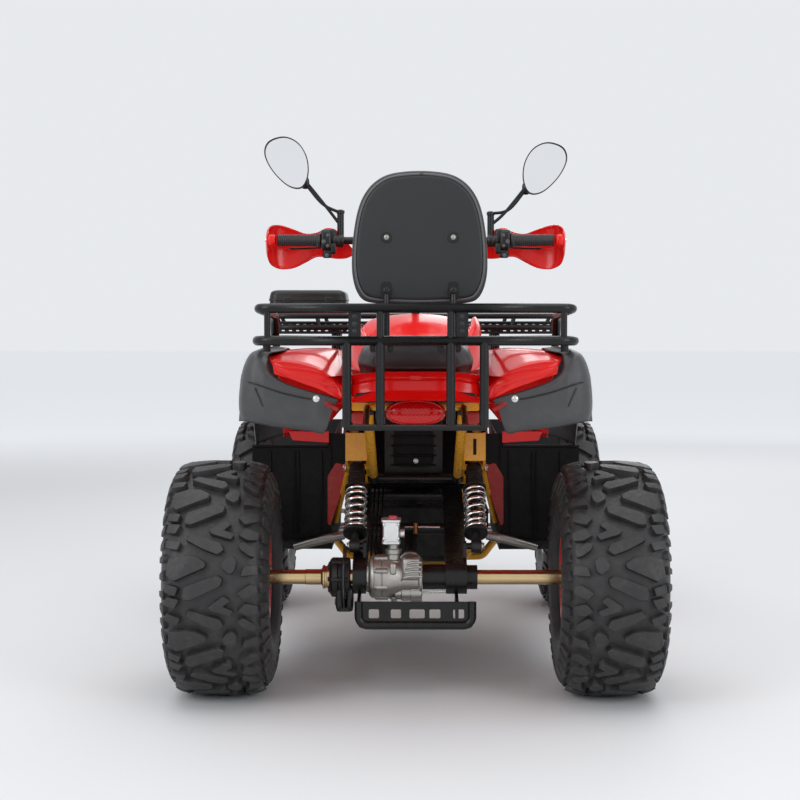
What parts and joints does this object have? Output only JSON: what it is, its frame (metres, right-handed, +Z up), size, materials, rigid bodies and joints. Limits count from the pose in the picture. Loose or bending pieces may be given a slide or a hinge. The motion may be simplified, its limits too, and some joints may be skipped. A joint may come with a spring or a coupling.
{
  "type": "utility quad bike",
  "caption": "Utility quad bike with lugged tyres, live shaft-driven rear axle, steered front wheels, two-up seat with backrest, tube racks, handguards and mirrors.",
  "frame": {"origin": "on the ground under the middle of the bounding box", "axes": "+Y forward, +X to the rider's right, +Z up"},
  "size_m": [1.166, 2.07, 1.4273],
  "materials": {
    "frame_paint": "satin ochre enamel",
    "black_metal": "black powder coat",
    "cast_aluminium": "as cast",
    "plated_steel": "yellow zinc plate",
    "grey_steel": "dark machined",
    "spring_chrome": "bright",
    "red_paint": "gloss red",
    "red_plastic": "gloss red",
    "dark_plastic": "grained dark grey",
    "tyre_rubber": "worn black",
    "grip_rubber": "matt",
    "seat_vinyl": "grained vinyl",
    "lamp_red": "clear red lens",
    "lamp_clear": "clear lens",
    "mirror": "silvered"
  },
  "bodies": {
    "chassis": {"frame": "frame_paint", "swingarm": "black_metal", "final_drive": "cast_aluminium", "brake_caliper": "grey_steel", "rear_skid_guard": "black_metal", "engine": "cast_aluminium", "exhaust": "grey_steel", "belly_plate": "black_metal", "shock_absorbers": "grey_steel", "shock_springs": "spring_chrome", "control_arms": "black_metal", "front_bumper": "black_metal", "front_rack": "black_metal", "rear_rack": "black_metal", "backrest_pad": "seat_vinyl", "backrest_shell": "dark_plastic", "seat": "seat_vinyl", "tail_fairing": "red_plastic", "tail_lamp": "lamp_red", "rear_fender": "red_plastic", "rear_flares": "dark_plastic", "front_fender": "red_plastic", "front_flares": "dark_plastic", "footwell_left": "dark_plastic", "footwell_right": "dark_plastic", "tank_cover": "red_plastic", "side_panels": "red_plastic", "headlamps": "lamp_clear", "grille": "dark_plastic", "rack_case": "dark_plastic"},
    "rear_wheels": {"rear_axle": "plated_steel", "rear_rim_left": "red_paint", "rear_rim_right": "red_paint", "rear_tyre_left": "tyre_rubber", "rear_tyre_right": "tyre_rubber"},
    "steering": {"steering_stem": "black_metal", "handlebar": "black_metal", "grips": "grip_rubber", "bar_controls": "dark_plastic", "handguards": "red_plastic", "mirror_frames": "dark_plastic", "mirror_glass": "mirror"},
    "left_knuckle": {"knuckle_left": "black_metal"},
    "right_knuckle": {"knuckle_right": "black_metal"},
    "left_wheel": {"front_rim_left": "red_paint", "front_tyre_left": "tyre_rubber"},
    "right_wheel": {"front_rim_right": "red_paint", "front_tyre_right": "tyre_rubber"},
    "left_tie_rod": {"tie_rod_left": "grey_steel"},
    "right_tie_rod": {"tie_rod_right": "grey_steel"}
  },
  "joints": [
    {"name": "rear_axle_spin", "type": "hinge", "parent": "chassis", "child": "rear_wheels", "pos_m": [0, -0.635, 0.28], "axis": [1, 0, 0], "continuous": true},
    {"name": "handlebar_turn", "type": "hinge", "parent": "chassis", "child": "steering", "pos_m": [0, 0.55798, 0.315], "axis": [0, -0.342, 0.9397], "range_deg": [-36, 36]},
    {"name": "left_knuckle_turn", "type": "hinge", "parent": "chassis", "child": "left_knuckle", "pos_m": [-0.4, 0.635, 0.292], "axis": [0, 0, 1], "range_deg": [-40, 40]},
    {"name": "left_wheel_spin", "type": "hinge", "parent": "left_knuckle", "child": "left_wheel", "pos_m": [-0.476, 0.635, 0.292], "axis": [1, 0, 0], "continuous": true},
    {"name": "left_tie_rod_turn", "type": "hinge", "parent": "steering", "child": "left_tie_rod", "pos_m": [-0.018, 0.4922, 0.29106], "axis": [0, -0.342, 0.9397], "range_deg": [-60, 60]},
    {"name": "right_knuckle_turn", "type": "hinge", "parent": "chassis", "child": "right_knuckle", "pos_m": [0.4, 0.635, 0.292], "axis": [0, 0, 1], "range_deg": [-40, 40]},
    {"name": "right_wheel_spin", "type": "hinge", "parent": "right_knuckle", "child": "right_wheel", "pos_m": [0.476, 0.635, 0.292], "axis": [1, 0, 0], "continuous": true},
    {"name": "right_tie_rod_turn", "type": "hinge", "parent": "steering", "child": "right_tie_rod", "pos_m": [0.018, 0.4922, 0.29106], "axis": [0, -0.342, 0.9397], "range_deg": [-60, 60]}
  ],
  "couplings": [
    {"joint": "left_knuckle_turn", "follows": "handlebar_turn", "ratio": 0.88},
    {"joint": "left_tie_rod_turn", "follows": "handlebar_turn", "ratio": -1.13},
    {"joint": "right_knuckle_turn", "follows": "handlebar_turn", "ratio": 0.88},
    {"joint": "right_tie_rod_turn", "follows": "handlebar_turn", "ratio": -1.13}
  ]
}
